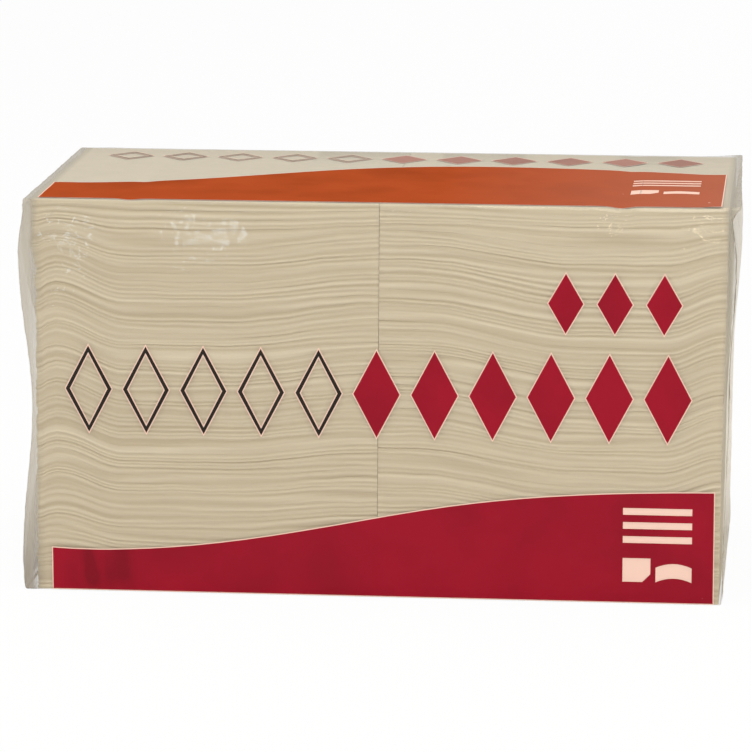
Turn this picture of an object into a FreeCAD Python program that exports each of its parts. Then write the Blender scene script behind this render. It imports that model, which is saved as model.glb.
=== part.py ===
"""Film-wrapped pack of quarter-folded paper napkins: two stacks side by side.

Frame: +X to the right, the printed front faces -Y, +Z up. The origin is the
middle of the underside of the pack.
"""

import FreeCAD, Part
import math
import os

import Sketcher

Vector = FreeCAD.Vector

# Driving dimensions in millimetres. A size with no unit in its note is a count or a share.
SIZES = [
    ("bundle_count", 25, "bundles of ten napkins in a stack"),
    ("bundle_rise", 6.88, "height that a bundle of ten napkins takes up"),
    ("slabs_per_bundle", 2, "slabs of five napkins in a bundle"),
    ("layer_gap", 0.05, "air between one slab of napkins and the next"),
    ("napkin_width", 148.8, "folded napkin, left to right"),
    ("napkin_depth", 148.6, "folded napkin, front to back"),
    ("ragged_edge", 0.5, "how far every second slab lies back from the others"),
    ("stack_gap", 0.3, "air between the two stacks"),
    ("lean", 1.2, "how far the stacks lean to the right at the top"),
    ("wave_peak_share", 0.73, "share of the stack's height where the layers sag most"),
    ("left_edge_rise", 1.6, "left stack: layers at the outer edge"),
    ("left_crest_rise", 5.4, "left stack: crest beside the outer edge"),
    ("left_crest_share", 0.055, "left stack: share of the width from the outer edge to the crest"),
    ("left_sag", 4.4, "left stack: depth of the sag in the middle"),
    ("left_sag_start_share", 0.26, "left stack: share of the width where the sag starts"),
    ("left_sag_end_share", 0.54, "left stack: share of the width where the sag ends"),
    ("left_joint_rise", 2.0, "left stack: layers at the joint"),
    ("right_edge_rise", 2.6, "right stack: layers at the outer edge"),
    ("right_sag", 5.4, "right stack: depth of the sag in the middle"),
    ("right_sag_start_share", 0.58, "right stack: share of the width where the sag starts"),
    ("right_sag_end_share", 0.82, "right stack: share of the width where the sag ends"),
    ("right_joint_rise", 4.6, "right stack: layers at the joint"),
    ("right_joint_share", 0.1, "right stack: share of the width that lies level at the joint"),
    ("film_gauge", 0.1, "thickness of the film"),
    ("film_slack", 0.2, "room between the napkins and the flat film faces"),
    ("corner_cut", 0.6, "softened upright corners of the wrap"),
    ("foot_share", 0.08, "share of the height where the ends are full at the foot"),
    ("waist_share", 0.48, "share of the height where the ends draw in"),
    ("shoulder_share", 0.86, "share of the height where the ends stand out most"),
    ("left_bottom_stand", 5.4, "film beyond the left stack at the bottom edge"),
    ("left_foot_stand", 5.8, "film beyond the left stack at the foot"),
    ("left_waist_stand", 0.9, "film beyond the left stack at the waist"),
    ("left_shoulder_stand", 6.1, "film beyond the left stack at the shoulder"),
    ("left_top_stand", 1.7, "film beyond the left stack at the top edge"),
    ("right_bottom_stand", 0.9, "film beyond the right stack at the bottom edge"),
    ("right_foot_stand", 1.2, "film beyond the right stack at the foot"),
    ("right_waist_stand", 1.9, "film beyond the right stack at the waist"),
    ("right_shoulder_stand", 5.068, "film beyond the right stack at the shoulder"),
    ("right_top_stand", 1.6, "film beyond the right stack at the top edge"),
    ("fold_gauge", 0.2, "thickness that the folded end flaps add"),
    ("flap_tip_width", 52, "width of an end flap at its tip"),
    ("seam_width", 12, "lap seam up the back"),
    ("seam_gauge", 0.1, "thickness that the lap seam adds"),
    ("print_gauge", 0.1, "thickness of a printed field"),
    ("band_left_margin", 13.4, "front band: bare film at its left end"),
    ("band_right_margin", 9.8, "front band: bare film at its right end"),
    ("band_foot", 0.8, "front band: bottom edge above the underside"),
    ("band_left_height", 19.1, "front band: top edge at the left end"),
    ("band_dip_height", 16.6, "front band: top edge where it dips"),
    ("band_middle_height", 31.5, "front band: top edge near the joint"),
    ("band_shoulder_height", 48.6, "front band: top edge on the right"),
    ("band_right_height", 49.6, "front band: top edge at the right end"),
    ("top_band_margin", 4.2, "top band: bare film before its front edge"),
    ("top_band_row_gap", 3, "top band: bare film between its crest and the row behind it"),
    ("top_band_left_drop", 67, "top band: crest to the back edge at the left end, front to back"),
    ("top_band_right_drop", 21, "top band: crest to the back edge at the right end, front to back"),
    ("row_foot", 71, "front row of lozenges: lower tips above the underside"),
    ("row_height", 38, "front row of lozenges: height"),
    ("top_row_margin", 11.6, "top row of lozenges: back tips to the back of the pack"),
    ("top_row_depth", 22, "top row of lozenges: front to back"),
    ("outline_count", 5, "open lozenges in a row"),
    ("solid_count", 6, "filled lozenges in a row"),
    ("row_length", 270, "row of lozenges, end to end"),
    ("lozenge_width", 20, "one lozenge, left to right"),
    ("outline_stroke", 1.8, "line width of an open lozenge"),
    ("badge_spread", 42, "three small lozenges over the row, first to last"),
    ("badge_width", 15, "one small lozenge, left to right"),
    ("badge_height", 26, "one small lozenge, tip to tip"),
    ("badge_middle", 131, "small lozenges: middle above the underside"),
    ("badge_right_margin", 32, "last small lozenge to the right end of the pack"),
    ("window_width", 29.7, "unprinted bars in the bands, left to right"),
    ("window_bar", 3, "unprinted bar, thickness"),
    ("window_pitch", 6.2, "one unprinted bar to the next"),
    ("window_right_margin", 19, "unprinted bars to the right end of the pack"),
    ("window_height", 27, "unprinted bars of the front band above the underside"),
    ("top_window_drop", 52, "top band: crest to the front edge of the unprinted bars"),
    ("sheet_width", 12, "unprinted folded napkin, left to right"),
    ("sheet_height", 10.5, "unprinted folded napkin, bottom to top"),
    ("sheet_dog_ear", 3.5, "turned corner of the unprinted folded napkin"),
    ("sheet_gap", 2.2, "unprinted folded napkin to the bowed sheet beside it"),
    ("bowed_width", 15.5, "unprinted bowed sheet, left to right"),
    ("bowed_height", 6.5, "unprinted bowed sheet, bottom to top at its ends"),
    ("bowed_lift", 1.8, "rise of the bowed sheet in its middle"),
    ("sheet_foot", 9.8, "pictograms of the front band above the underside"),
    ("top_sheet_drop", 74, "top band: crest to the front edge of the pictograms"),
]

# Bend of the sag's growth from the bottom up to its peak, and of its fade above.
SAG_GROWTH = 3.3
SAG_FADE = 2.3

# Distances that several expressions share.
STACK_HALF = "(Sizes.napkin_width + Sizes.stack_gap / 2)"
STACK_HEIGHT = "(Sizes.bundle_count * Sizes.bundle_rise)"
STACK_FOOT = "(Sizes.film_gauge + Sizes.film_slack)"
PACK_HEIGHT = f"({STACK_HEIGHT} + 2 * {STACK_FOOT})"
FRONT_REACH = f"(Sizes.napkin_depth / 2 + {STACK_FOOT})"
PACK_HALF = f"({STACK_HALF} + Sizes.left_shoulder_stand)"
TOP_ROW_FOOT = f"({FRONT_REACH} - Sizes.top_row_margin - Sizes.top_row_depth)"
TOP_BAND_CREST = f"({TOP_ROW_FOOT} - Sizes.top_band_row_gap)"


def make_sheet(doc):
    """Put the driving dimensions into the document's spreadsheet."""
    sheet = doc.addObject("Spreadsheet::Sheet", "Sizes")
    for row, (name, value, note) in enumerate(SIZES, start=1):
        sheet.set(f"A{row}", name)
        sheet.set(f"B{row}", str(value))
        sheet.setAlias(f"B{row}", name)
        sheet.set(f"C{row}", note)
    doc.recompute()
    return sheet


def new_body(doc, label):
    body = doc.addObject("PartDesign::Body", label)
    body.Label = label
    return body


def new_sketch(body, name, role, offset=None):
    """Start a sketch on one of the body's own origin planes, bound to an offset from it."""
    sketch = body.newObject("Sketcher::SketchObject", name)
    plane = [item for item in body.Origin.OriginFeatures if item.Role == role][0]
    sketch.AttachmentSupport = [(plane, "")]
    sketch.MapMode = "FlatFace"
    if offset is not None:
        sketch.setExpression("AttachmentOffset.Base.z", offset)
    return sketch


def value_of(doc, text):
    """Value of an expression over the sheet's sizes."""
    result = doc.Sizes.evalExpression(text)
    return float(getattr(result, "Value", result))


def start_points(doc, points):
    """Where bound points lie now, to draw a sketch near its final shape."""
    return [Vector(value_of(doc, x), value_of(doc, y), 0) for x, y in points]


def bind_points(sketch, ends, points):
    """Hold the named ends of sketch geometry at bound distances from the sketch's origin."""
    corners = start_points(sketch.Document, points)
    constraints = []
    for (geometry, end), corner in zip(ends, corners):
        constraints.append(Sketcher.Constraint("DistanceX", -1, 1, geometry, end, corner.x))
        constraints.append(Sketcher.Constraint("DistanceY", -1, 1, geometry, end, corner.y))
    numbers = sketch.addConstraint(constraints)
    texts = [text for point in points for text in point]
    for number, text in zip(numbers, texts):
        sketch.setExpression(f"Constraints[{number}]", text)


def draw_polygon(doc, sketch, points):
    """Closed outline of straight sides through bound corners."""
    corners = start_points(doc, points)
    lines = [Part.LineSegment(*ends) for ends in zip(corners, corners[1:] + corners[:1])]
    sides = sketch.addGeometry(lines, False)
    sketch.addConstraint([
        Sketcher.Constraint("Coincident", sides[index - 1], 2, side, 1)
        for index, side in enumerate(sides)
    ])
    bind_points(sketch, [(side, 1) for side in sides], points)


def draw_run(sketch, points):
    """One side of an outline: straight between two points, a smooth curve over more poles."""
    places = start_points(sketch.Document, points)
    if len(points) == 2:
        side = sketch.addGeometry(Part.LineSegment(*places), False)
        bind_points(sketch, [(side, 1), (side, 2)], points)
        return side
    degree = min(3, len(points) - 1)
    side = sketch.addGeometry(Part.BSplineCurve(places, None, None, False, degree, None, False), False)
    first_pole = sketch.GeometryCount
    sketch.exposeInternalGeometry(side)
    bind_points(sketch, [(first_pole + index, 3) for index in range(len(points))], points)
    return side


def draw_between(sketch, lower_points, upper_points):
    """Closed outline between two sides that run from west to east, with upright ends."""
    lower = draw_run(sketch, lower_points)
    upper = draw_run(sketch, upper_points)
    for end in (1, 2):
        upright = sketch.addGeometry(
            Part.LineSegment(sketch.getPoint(lower, end), sketch.getPoint(upper, end)), False
        )
        sketch.addConstraint([
            Sketcher.Constraint("Coincident", upright, 1, lower, end),
            Sketcher.Constraint("Coincident", upright, 2, upper, end),
        ])


def new_pad(body, name, sketch, length, middle=False):
    pad = body.newObject("PartDesign::Pad", name)
    pad.Profile = sketch
    pad.setExpression("Length", length)
    pad.Midplane = middle
    return pad


def left_knots():
    """Left stack, from the outer edge to the joint: share of the width, rise, steps to the next."""
    return [
        ("0", "Sizes.left_edge_rise", 1),
        ("Sizes.left_crest_share", "Sizes.left_crest_rise", 4),
        ("Sizes.left_sag_start_share", "-Sizes.left_sag", 1),
        ("Sizes.left_sag_end_share", "-Sizes.left_sag", 4),
        ("1", "Sizes.left_joint_rise", 0),
    ]


def right_knots():
    """Right stack, from the joint to the outer edge: share of the width, rise, steps to the next."""
    return [
        ("0", "Sizes.right_joint_rise", 1),
        ("Sizes.right_joint_share", "Sizes.right_joint_rise", 5),
        ("Sizes.right_sag_start_share", "-Sizes.right_sag", 1),
        ("Sizes.right_sag_end_share", "-Sizes.right_sag", 3),
        ("1", "Sizes.right_edge_rise", 0),
    ]


def layer_wave(knots):
    """Points of a layer at full sag: cosine slopes from each knot to the next."""
    points = []
    for (share, rise, steps), (next_share, next_rise, _) in zip(knots, knots[1:]):
        for step in range(steps):
            along = step / steps
            turned = (1 - math.cos(math.pi * along)) / 2
            points.append((
                f"({share} * {1 - along:.4f} + {next_share} * {along:.4f})",
                f"({rise} * {1 - turned:.4f} + {next_rise} * {turned:.4f})",
            ))
    points.append(knots[-1][:2])
    return points


def sag_share(level, peak):
    """How much of the full sag a layer has: none at the bottom and top, all at the peak."""
    if level < peak:
        return 1 - ((peak - level) / peak) ** SAG_GROWTH
    return 1 - ((level - peak) / (1 - peak)) ** SAG_FADE


def layer_line(doc, wave, level, height):
    """Bound points of one layer line, at a share of the stack's height."""
    swell = sag_share(level, value_of(doc, "Sizes.wave_peak_share"))
    return [
        (f"Sizes.napkin_width * {share} + Sizes.lean * {level:.6f}", f"{height} + {rise} * {swell:.6f}")
        for share, rise in wave
    ]


def napkin_bundle(doc, label, index, wave, left_edge):
    """Ten quarter-folded napkins as slabs of five between wavy layer lines."""
    bundles = value_of(doc, "Sizes.bundle_count")
    slabs = round(value_of(doc, "Sizes.slabs_per_bundle"))
    body = new_body(doc, label)
    for slab in range(slabs):
        height = f"Sizes.bundle_rise * {slab / slabs}"
        next_height = f"Sizes.bundle_rise * {(slab + 1) / slabs} - Sizes.layer_gap"
        lower = layer_line(doc, wave, (index + slab / slabs) / bundles, height)
        upper = layer_line(doc, wave, (index + (slab + 1) / slabs) / bundles, next_height)
        sketch = new_sketch(body, f"{label}_slab_{slab + 1}", "XZ_Plane")
        draw_polygon(doc, sketch, lower + upper[::-1])
        depth = "Sizes.napkin_depth - 2 * Sizes.ragged_edge" if slab % 2 else "Sizes.napkin_depth"
        new_pad(body, f"{label}_pad_{slab + 1}", sketch, depth, middle=True)
    body.setExpression("Placement.Base.x", left_edge)
    body.setExpression("Placement.Base.z", f"{STACK_FOOT} + Sizes.bundle_rise * {index}")
    return body


def napkin_stacks(doc):
    """Two stacks of bundles, numbered from the bottom up."""
    bodies = []
    sides = [
        ("napkins_left", left_knots(), f"-{STACK_HALF}"),
        ("napkins_right", right_knots(), "Sizes.stack_gap / 2"),
    ]
    for name, knots, left_edge in sides:
        wave = layer_wave(knots)
        for index in range(round(value_of(doc, "Sizes.bundle_count"))):
            label = f"{name}_{index + 1:02d}"
            bodies.append(napkin_bundle(doc, label, index, wave, left_edge))
    return bodies


def end_levels():
    """Heights of the wrap's cross-sections and how far each end reaches at them."""
    levels = [
        ("0", "0", "bottom"),
        ("Sizes.foot_share", "Sizes.foot_share", "foot"),
        ("Sizes.waist_share", "Sizes.waist_share", "waist"),
        ("Sizes.shoulder_share", "Sizes.shoulder_share", "shoulder"),
        ("1", "1", "top"),
    ]
    return [
        (
            f"{PACK_HEIGHT} * {share}",
            f"({STACK_HALF} + Sizes.left_{name}_stand)",
            f"({STACK_HALF} + Sizes.lean * {leaned} + Sizes.right_{name}_stand)",
        )
        for share, leaned, name in levels
    ]


def wrap_section(doc, body, name, height, left, right, inset):
    """Cross-section of the wrap at one height: a rectangle with its corners cut off."""
    sketch = new_sketch(body, name, "XY_Plane", height)
    west = f"-({left} - {inset})"
    east = f"({right} - {inset})"
    south = f"-({FRONT_REACH} - {inset})"
    north = f"({FRONT_REACH} - {inset})"
    cut = "Sizes.corner_cut"
    draw_polygon(doc, sketch, [
        (west, f"{south} + {cut}"),
        (f"{west} + {cut}", south),
        (f"{east} - {cut}", south),
        (east, f"{south} + {cut}"),
        (east, f"{north} - {cut}"),
        (f"{east} - {cut}", north),
        (f"{west} + {cut}", north),
        (west, f"{north} - {cut}"),
    ])
    return sketch


def ruled_loft(body, kind, name, sections):
    loft = body.newObject(kind, name)
    loft.Profile = sections[0]
    loft.Sections = sections[1:]
    loft.Ruled = True
    return loft


def wrap_walls(doc, body):
    """Outer form of the wrap."""
    sections = []
    for index, (height, left, right) in enumerate(end_levels()):
        sections.append(wrap_section(doc, body, f"outside_{index}", height, left, right, "0"))
    ruled_loft(body, "PartDesign::AdditiveLoft", "outside", sections)


def wrap_hollow(doc, body):
    """Space inside the wrap: the outer form, less the film's thickness on every side."""
    gauge = "Sizes.film_gauge"
    levels = end_levels()
    heights = [gauge] + [level[0] for level in levels[1:-1]] + [f"{PACK_HEIGHT} - {gauge}"]
    sections = []
    for index, (height, (_, left, right)) in enumerate(zip(heights, levels)):
        sections.append(wrap_section(doc, body, f"inside_{index}", height, left, right, gauge))
    ruled_loft(body, "PartDesign::SubtractiveLoft", "inside", sections)


def end_flap(doc, body, name, side, levels, half_widths):
    """Folded flap on an end of the wrap, narrowing from a top or bottom edge to its tip."""
    sections = []
    for index, ((height, left, right), half) in enumerate(zip(levels, half_widths)):
        sketch = new_sketch(body, f"{name}_{index}", "XY_Plane", height)
        reach, sign = (left, "-") if side == "left" else (right, "")
        root = f"{sign}({reach} - Sizes.film_gauge / 2)"
        skin = f"{sign}({reach} + Sizes.fold_gauge)"
        draw_polygon(doc, sketch, [
            (root, f"-{half}"),
            (skin, f"-{half}"),
            (skin, half),
            (root, half),
        ])
        sections.append(sketch)
    ruled_loft(body, "PartDesign::AdditiveLoft", name, sections)


def end_flaps(doc, body):
    """Upper and lower flap at both ends, as a box wrap is folded."""
    levels = end_levels()
    wide = f"({FRONT_REACH} - Sizes.corner_cut)"
    tip = "(Sizes.flap_tip_width / 2)"
    knee = f"(({wide} + {tip}) / 2)"
    for side in ("left", "right"):
        end_flap(doc, body, f"{side}_upper_flap", side, levels[:1:-1], [wide, knee, tip])
        end_flap(doc, body, f"{side}_lower_flap", side, levels[:3], [wide, knee, tip])


def back_seam(doc, body):
    """Lap seam that closes the tube of film, up the middle of the back."""
    sketch = new_sketch(body, "seam_plan", "XY_Plane")
    near = f"({FRONT_REACH} - Sizes.film_gauge / 2)"
    far = f"({FRONT_REACH} + Sizes.seam_gauge)"
    draw_polygon(doc, sketch, [
        ("-Sizes.seam_width / 2", near),
        ("Sizes.seam_width / 2", near),
        ("Sizes.seam_width / 2", far),
        ("-Sizes.seam_width / 2", far),
    ])
    new_pad(body, "seam", sketch, PACK_HEIGHT)


def film_wrap(doc):
    """One closed bag of clear film with folded ends and a lap seam up the back."""
    body = new_body(doc, "film_wrap")
    wrap_walls(doc, body)
    end_flaps(doc, body)
    back_seam(doc, body)
    wrap_hollow(doc, body)
    return body


def front_field(doc, label):
    """Body and sketch of a print on the front of the wrap; the sketch is seen from the front."""
    body = new_body(doc, label)
    body.setExpression("Placement.Base.y", f"-{FRONT_REACH}")
    return body, new_sketch(body, f"{label}_front", "XZ_Plane")


def top_field(doc, label):
    """Body and sketch of a print on the top of the wrap; the sketch is seen from above."""
    body = new_body(doc, label)
    body.setExpression("Placement.Base.z", PACK_HEIGHT)
    return body, new_sketch(body, f"{label}_top", "XY_Plane")


def window_bars(doc, sketch, lowest):
    """Three unprinted bars, a plain stand-in for the count on the pack."""
    right = f"({PACK_HALF} - Sizes.window_right_margin)"
    for index in range(3):
        foot = f"({lowest} + Sizes.window_pitch * {index})"
        draw_polygon(doc, sketch, [
            (f"{right} - Sizes.window_width", foot),
            (right, foot),
            (right, f"{foot} + Sizes.window_bar"),
            (f"{right} - Sizes.window_width", f"{foot} + Sizes.window_bar"),
        ])


def dog_eared_window(doc, sketch, west, foot):
    """Unprinted pictogram of a folded napkin with its lower corner turned up."""
    east = f"({west} + Sizes.sheet_width)"
    head = f"({foot} + Sizes.sheet_height)"
    draw_polygon(doc, sketch, [
        (west, foot),
        (f"{east} - Sizes.sheet_dog_ear", foot),
        (east, f"{foot} + Sizes.sheet_dog_ear"),
        (east, head),
        (west, head),
    ])


def arched_window(sketch, west, foot):
    """Unprinted pictogram of a single bowed sheet."""
    east = f"({west} + Sizes.bowed_width)"
    middle = f"({west} + Sizes.bowed_width / 2)"
    head = f"({foot} + Sizes.bowed_height)"
    lift = "2 * Sizes.bowed_lift"
    draw_between(
        sketch,
        [(west, foot), (middle, f"{foot} + {lift}"), (east, foot)],
        [(west, head), (middle, f"{head} + {lift}"), (east, head)],
    )


def pictograms(doc, sketch, foot):
    """Two unprinted pictograms side by side, under the bars."""
    west = f"({PACK_HALF} - Sizes.window_right_margin - Sizes.window_width)"
    dog_eared_window(doc, sketch, west, foot)
    arched_window(sketch, f"({west} + Sizes.sheet_width + Sizes.sheet_gap)", foot)


def front_band(doc):
    """Printed band along the foot of the front; its top edge sweeps up to the right."""
    body, sketch = front_field(doc, "print_band_front")
    west = f"-({PACK_HALF} - Sizes.band_left_margin)"
    east = f"({PACK_HALF} - Sizes.band_right_margin)"
    span = f"({east} - {west})"
    draw_between(sketch, [(west, "Sizes.band_foot"), (east, "Sizes.band_foot")], [
        (west, "Sizes.band_left_height"),
        (f"{west} + {span} * 0.15", "Sizes.band_dip_height"),
        (f"{west} + {span} * 0.45", "Sizes.band_middle_height"),
        (f"{west} + {span} * 0.7", "Sizes.band_shoulder_height"),
        (east, "Sizes.band_right_height"),
    ])
    window_bars(doc, sketch, "Sizes.window_height")
    pictograms(doc, sketch, "Sizes.sheet_foot")
    new_pad(body, f"{body.Label}_pad", sketch, "Sizes.print_gauge")
    return body


def top_band(doc):
    """Printed band on the front part of the top; its back edge is one long curve."""
    body, sketch = top_field(doc, "print_band_top")
    west = f"-({STACK_HALF} + Sizes.left_top_stand - Sizes.top_band_margin)"
    east = f"({STACK_HALF} + Sizes.right_top_stand - Sizes.top_band_margin)"
    span = f"({east} - {west})"
    near = f"(Sizes.top_band_margin - {FRONT_REACH})"
    draw_between(sketch, [(west, near), (east, near)], [
        (west, f"{TOP_BAND_CREST} - Sizes.top_band_left_drop"),
        (f"{west} + {span} * 0.18", f"{TOP_BAND_CREST} - Sizes.top_band_left_drop"),
        (f"{west} + {span} * 0.42", TOP_BAND_CREST),
        (f"{west} + {span} * 0.72", TOP_BAND_CREST),
        (east, f"{TOP_BAND_CREST} - Sizes.top_band_right_drop"),
    ])
    window_bars(doc, sketch, f"({TOP_BAND_CREST} - Sizes.top_window_drop)")
    pictograms(doc, sketch, f"({TOP_BAND_CREST} - Sizes.top_sheet_drop)")
    new_pad(body, f"{body.Label}_pad", sketch, "Sizes.print_gauge")
    return body


def lozenge(doc, sketch, middle, centre, half_width, half_height):
    draw_polygon(doc, sketch, [
        (f"{middle} - {half_width}", centre),
        (middle, f"{centre} - {half_height}"),
        (f"{middle} + {half_width}", centre),
        (middle, f"{centre} + {half_height}"),
    ])


def row_place(index):
    """Middle of one lozenge of a row, counted from the left."""
    steps = "(Sizes.outline_count + Sizes.solid_count - 1)"
    run = "(Sizes.row_length - Sizes.lozenge_width)"
    return f"({run} * ({index} / {steps} - 0.5))"


def outline_row(doc, field, label, foot, height):
    """Open lozenges at the left of a row."""
    body, sketch = field(doc, label)
    centre = f"({foot} + {height} / 2)"
    for index in range(round(value_of(doc, "Sizes.outline_count"))):
        middle = row_place(index)
        lozenge(doc, sketch, middle, centre, "Sizes.lozenge_width / 2", f"{height} / 2")
        inner = "(Sizes.lozenge_width / 2 - Sizes.outline_stroke)"
        lozenge(doc, sketch, middle, centre, inner, f"({height} / 2 - 1.6 * Sizes.outline_stroke)")
    new_pad(body, f"{body.Label}_pad", sketch, "Sizes.print_gauge")
    return body


def solid_row(doc, field, label, foot, height):
    """Filled lozenges at the right of a row."""
    body, sketch = field(doc, label)
    centre = f"({foot} + {height} / 2)"
    open_ones = round(value_of(doc, "Sizes.outline_count"))
    for index in range(round(value_of(doc, "Sizes.solid_count"))):
        middle = row_place(open_ones + index)
        lozenge(doc, sketch, middle, centre, "Sizes.lozenge_width / 2", f"{height} / 2")
    new_pad(body, f"{body.Label}_pad", sketch, "Sizes.print_gauge")
    return body


def badge(doc):
    """Three small filled lozenges over the right end of the front row."""
    body, sketch = front_field(doc, "print_badge_front")
    last = f"({PACK_HALF} - Sizes.badge_right_margin)"
    for index in range(3):
        middle = f"({last} - Sizes.badge_spread * {index} / 2)"
        lozenge(doc, sketch, middle, "Sizes.badge_middle", "Sizes.badge_width / 2", "Sizes.badge_height / 2")
    new_pad(body, f"{body.Label}_pad", sketch, "Sizes.print_gauge")
    return body


def prints(doc):
    front_row = ("Sizes.row_foot", "Sizes.row_height")
    top_row = (TOP_ROW_FOOT, "Sizes.top_row_depth")
    return [
        front_band(doc),
        top_band(doc),
        outline_row(doc, front_field, "print_outlines_front", *front_row),
        solid_row(doc, front_field, "print_lozenges_front", *front_row),
        outline_row(doc, top_field, "print_outlines_top", *top_row),
        solid_row(doc, top_field, "print_lozenges_top", *top_row),
        badge(doc),
    ]


def check(doc, bodies):
    """Stop when an object failed or a body has no sound solid."""
    failed = [item.Name for item in doc.Objects if {"Invalid", "Error"} & set(item.State)]
    if failed:
        raise RuntimeError(f"objects failed: {failed}")
    for body in bodies:
        if body.Shape.isNull() or not body.Shape.isValid() or not body.Shape.Solids:
            raise RuntimeError(f"{body.Label} has no sound solid")


def main():
    doc = FreeCAD.newDocument("NapkinPack")
    make_sheet(doc)
    bodies = napkin_stacks(doc)
    bodies.append(film_wrap(doc))
    bodies.extend(prints(doc))
    doc.recompute()
    check(doc, bodies)
    os.makedirs("parts", exist_ok=True)
    for body in bodies:
        body.Shape.exportStep(os.path.join("parts", f"{body.Label}.step"))
    print(len(bodies), "sub-parts written")


main()
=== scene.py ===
# %% [markdown]
# A film-wrapped pack of folded paper napkins
#
# The pack holds two stacks of quarter-folded napkins under one tight wrap of
# clear film, and the film carries a red and black print. The CAD model gives
# the size and the place of every piece. This lesson dresses it: soft wavy
# paper, thin glossy film with folded ends, and ink that follows the film.

# %% Load the frame
import math
import random

import bpy
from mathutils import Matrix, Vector, noise


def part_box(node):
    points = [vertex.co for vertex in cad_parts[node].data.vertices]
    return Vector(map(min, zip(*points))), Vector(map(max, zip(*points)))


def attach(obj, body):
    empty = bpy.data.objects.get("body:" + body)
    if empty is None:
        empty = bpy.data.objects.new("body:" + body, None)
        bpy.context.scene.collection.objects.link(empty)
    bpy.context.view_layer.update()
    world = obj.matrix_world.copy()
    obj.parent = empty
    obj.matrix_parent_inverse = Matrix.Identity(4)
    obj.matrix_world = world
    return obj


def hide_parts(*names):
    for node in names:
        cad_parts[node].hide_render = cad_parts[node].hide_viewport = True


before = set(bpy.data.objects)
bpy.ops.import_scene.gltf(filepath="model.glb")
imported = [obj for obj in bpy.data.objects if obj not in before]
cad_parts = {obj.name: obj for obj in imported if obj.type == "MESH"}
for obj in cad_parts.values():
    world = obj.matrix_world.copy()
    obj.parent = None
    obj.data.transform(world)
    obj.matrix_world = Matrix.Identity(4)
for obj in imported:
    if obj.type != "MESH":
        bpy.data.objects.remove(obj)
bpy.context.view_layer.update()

# %% [markdown]
# Everything is in metres, and the CAD nodes say where things are. A few
# helpers keep the later cells short: one clears the selection, because a new
# operator acts on all that is selected, and one selects vertices by their
# place, which is how a script does what a modeller does with the mouse.

# %% Small helpers
MM = 0.001


def deselect_all():
    bpy.ops.object.select_all(action="DESELECT")


def make_active(piece):
    deselect_all()
    piece.select_set(True)
    bpy.context.view_layer.objects.active = piece


def edit(piece):
    make_active(piece)
    bpy.ops.object.mode_set(mode="EDIT")


def leave_edit():
    bpy.ops.object.mode_set(mode="OBJECT")


def select_vertices(piece, wanted):
    """Select the vertices whose place passes the test, and only those."""
    bpy.ops.mesh.select_all(action="DESELECT")
    bpy.ops.object.mode_set(mode="OBJECT")
    for vertex in piece.data.vertices:
        vertex.select = wanted(vertex.co)
    bpy.ops.object.mode_set(mode="EDIT")


def cut_across(axis, places):
    """Cut the whole mesh in edit mode by planes square to one axis."""
    normal = [0.0, 0.0, 0.0]
    normal[axis] = 1.0
    for place in places:
        point = [0.0, 0.0, 0.0]
        point[axis] = place
        bpy.ops.mesh.select_all(action="SELECT")
        bpy.ops.mesh.bisect(plane_co=point, plane_no=normal)


def even_places(low, high, count):
    """Places that divide a length into equal parts, without its ends."""
    return [low + (high - low) * step / count for step in range(1, count)]


def add_block(name, low, high):
    """A cube primitive at its size and place, with its place in its mesh."""
    deselect_all()
    middle = [(a + b) / 2 for a, b in zip(low, high)]
    size = [b - a for a, b in zip(low, high)]
    bpy.ops.mesh.primitive_cube_add(size=1, location=middle, scale=size)
    block = bpy.context.active_object
    block.name = name
    bpy.ops.object.transform_apply(location=True, rotation=True, scale=True)
    return block


def apply_modifier(piece, name, kind, **settings):
    make_active(piece)
    modifier = piece.modifiers.new(name, kind)
    for setting, value in settings.items():
        setattr(modifier, setting, value)
    bpy.ops.object.modifier_apply(modifier=modifier.name)


def shade_smooth(piece, angle):
    make_active(piece)
    bpy.ops.object.shade_smooth_by_angle(angle=math.radians(angle))


# %% [markdown]
# Each napkin is a square of tissue folded twice, about 0.7 mm thick, with a
# soft round fold along its front. Five of them make a slab here. The slab
# starts as a cube, is cut at the height of every fold, and the cuts between
# the napkins are then pulled in, so that each napkin keeps its own nose.

# %% Sizes of the stacks
bundle_names = sorted(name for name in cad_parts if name.startswith("napkins_"))
left_names = [name for name in bundle_names if "left" in name]
right_names = [name for name in bundle_names if "right" in name]
BUNDLES = len(left_names)
SLABS_PER_BUNDLE = 2
SLABS = BUNDLES * SLABS_PER_BUNDLE
NAPKINS_PER_SLAB = 5
first_low, first_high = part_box(left_names[0])
last_low, last_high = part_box(left_names[-1])
NAPKIN_DEPTH = first_high[1] - first_low[1]
STACK_FOOT = first_low[2]
STACK_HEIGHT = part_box("film_wrap")[1][2] - STACK_FOOT - 0.2 * MM
NAPKIN_WIDTH = 148.8 * MM
STACK_GAP = 0.04 * MM
LEAN = 1.2 * MM
SLAB_RISE = STACK_HEIGHT / SLABS
SLAB_GAP = 0.05 * MM
FOLD_GROOVE = 0.1 * MM
ROUNDED_END = 5.0 * MM
print("slab:", round(SLAB_RISE / MM, 3), "mm high,", len(bundle_names), "bundles")


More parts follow.
